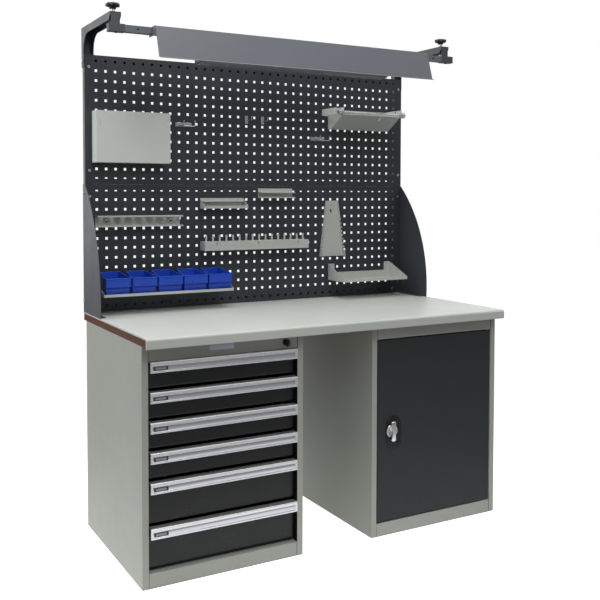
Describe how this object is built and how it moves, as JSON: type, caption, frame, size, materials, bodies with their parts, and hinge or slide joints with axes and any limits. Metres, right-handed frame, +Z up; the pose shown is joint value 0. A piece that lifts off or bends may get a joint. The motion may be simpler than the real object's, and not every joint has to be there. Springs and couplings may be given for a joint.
{
  "type": "workbench",
  "caption": "Workbench with a steel-clad top on a drawer cabinet and a cupboard, a perforated rear panel with racks and bins, and a sliding lamp on arms.",
  "frame": {"origin": "on the floor, under the middle of the worktop", "axes": "+Z up, the drawer fronts and the door face -Y, +X to the right seen from the front"},
  "size_m": [1.522, 0.74, 1.973],
  "materials": {
    "worktop_steel": "satin",
    "plywood": "bare layered edge",
    "cabinet_grey": "satin powder coat",
    "drawer_black": "satin powder coat",
    "rail_aluminium": "brushed",
    "runner_steel": "zinc plated",
    "panel_grey": "matt powder coat",
    "frame_grey": "satin powder coat",
    "shade_grey": "satin powder coat",
    "rack_grey": "satin powder coat",
    "screw_zinc": "zinc plated",
    "chrome": "polished",
    "black_plastic": "moulded",
    "bin_blue": "moulded",
    "diffuser": "frosted grey"
  },
  "bodies": {
    "bench": {"worktop_core": "plywood", "worktop_skin": "worktop_steel", "left_cabinet": "cabinet_grey", "right_cabinet": "cabinet_grey", "drawer_runners": "runner_steel", "lock_barrel": "chrome", "door_pivots": "runner_steel", "cabinet_shelf": "runner_steel", "shelf_pegs": "runner_steel", "lower_panel": "panel_grey", "upper_panel": "panel_grey", "left_upright": "frame_grey", "right_upright": "frame_grey", "left_gusset": "frame_grey", "right_gusset": "frame_grey", "left_arm": "frame_grey", "right_arm": "frame_grey", "panel_screws": "screw_zinc", "frame_bolts": "screw_zinc", "document_pocket": "rack_grey", "roll_holder": "rack_grey", "tool_rack": "rack_grey", "drill_rack": "rack_grey", "hex_key_rack": "rack_grey", "socket_rack": "rack_grey", "wrench_holder": "rack_grey", "left_shelf": "rack_grey", "right_shelf": "rack_grey", "hooks": "screw_zinc"},
    "drawer_1": {"drawer_1_box": "drawer_black", "drawer_1_rail": "rail_aluminium"},
    "drawer_2": {"drawer_2_box": "drawer_black", "drawer_2_rail": "rail_aluminium"},
    "drawer_3": {"drawer_3_box": "drawer_black", "drawer_3_rail": "rail_aluminium"},
    "drawer_4": {"drawer_4_box": "drawer_black", "drawer_4_rail": "rail_aluminium"},
    "drawer_5": {"drawer_5_box": "drawer_black", "drawer_5_rail": "rail_aluminium"},
    "drawer_6": {"drawer_6_box": "drawer_black", "drawer_6_rail": "rail_aluminium"},
    "drawer_key": {"lock_key": "black_plastic"},
    "door": {"door_panel": "drawer_black", "latch_housing": "black_plastic"},
    "door_handle": {"latch_handle": "chrome", "latch_cam": "runner_steel"},
    "door_lock": {"lock_core": "chrome"},
    "lamp": {"lamp_bar": "frame_grey", "lamp_hangers": "frame_grey", "lamp_shade": "shade_grey", "lamp_body": "frame_grey", "lamp_diffuser": "diffuser"},
    "left_clamp": {"left_knob": "black_plastic"},
    "right_clamp": {"right_knob": "black_plastic"},
    "bin_1": {"bin_1": "bin_blue"},
    "bin_2": {"bin_2": "bin_blue"},
    "bin_3": {"bin_3": "bin_blue"},
    "bin_4": {"bin_4": "bin_blue"},
    "bin_5": {"bin_5": "bin_blue"},
    "roll_rod": {"roll_rod": "chrome"}
  },
  "joints": [
    {"name": "drawer_1_slide", "type": "slide", "parent": "bench", "child": "drawer_1", "axis": [0, -1, 0], "range_m": [0, 0.5]},
    {"name": "drawer_2_slide", "type": "slide", "parent": "bench", "child": "drawer_2", "axis": [0, -1, 0], "range_m": [0, 0.5]},
    {"name": "drawer_3_slide", "type": "slide", "parent": "bench", "child": "drawer_3", "axis": [0, -1, 0], "range_m": [0, 0.5]},
    {"name": "drawer_4_slide", "type": "slide", "parent": "bench", "child": "drawer_4", "axis": [0, -1, 0], "range_m": [0, 0.5]},
    {"name": "drawer_5_slide", "type": "slide", "parent": "bench", "child": "drawer_5", "axis": [0, -1, 0], "range_m": [0, 0.5]},
    {"name": "drawer_6_slide", "type": "slide", "parent": "bench", "child": "drawer_6", "axis": [0, -1, 0], "range_m": [0, 0.5]},
    {"name": "key_turn", "type": "hinge", "parent": "bench", "child": "drawer_key", "pos_m": [-0.22, -0.31, 0.775], "axis": [0, 1, 0], "range_deg": [0, 90]},
    {"name": "door_hinge", "type": "hinge", "parent": "bench", "child": "door", "pos_m": [0.714, -0.307, 0.401], "axis": [0, 0, 1], "range_deg": [0, 100]},
    {"name": "door_handle_turn", "type": "hinge", "parent": "door", "child": "door_handle", "pos_m": [0.241, -0.314, 0.398], "axis": [0, 1, 0], "range_deg": [0, 90]},
    {"name": "door_lock_turn", "type": "hinge", "parent": "door", "child": "door_lock", "pos_m": [0.275, -0.314, 0.348], "axis": [0, 1, 0], "range_deg": [0, 90]},
    {"name": "lamp_slide", "type": "slide", "parent": "bench", "child": "lamp", "axis": [0, 1, 0], "range_m": [0, 0.2]},
    {"name": "left_clamp_turn", "type": "hinge", "parent": "lamp", "child": "left_clamp", "pos_m": [-0.731, 0.028, 1.95], "axis": [0, 0, 1], "continuous": true},
    {"name": "right_clamp_turn", "type": "hinge", "parent": "lamp", "child": "right_clamp", "pos_m": [0.731, 0.028, 1.95], "axis": [0, 0, 1], "continuous": true},
    {"name": "bin_1_lift", "type": "slide", "parent": "bench", "child": "bin_1", "axis": [0, 0, 1], "range_m": [0, 0.06]},
    {"name": "bin_2_lift", "type": "slide", "parent": "bench", "child": "bin_2", "axis": [0, 0, 1], "range_m": [0, 0.06]},
    {"name": "bin_3_lift", "type": "slide", "parent": "bench", "child": "bin_3", "axis": [0, 0, 1], "range_m": [0, 0.06]},
    {"name": "bin_4_lift", "type": "slide", "parent": "bench", "child": "bin_4", "axis": [0, 0, 1], "range_m": [0, 0.06]},
    {"name": "bin_5_lift", "type": "slide", "parent": "bench", "child": "bin_5", "axis": [0, 0, 1], "range_m": [0, 0.06]},
    {"name": "roll_rod_turn", "type": "hinge", "parent": "bench", "child": "roll_rod", "pos_m": [0.5, 0.218, 1.655], "axis": [1, 0, 0], "continuous": true}
  ]
}
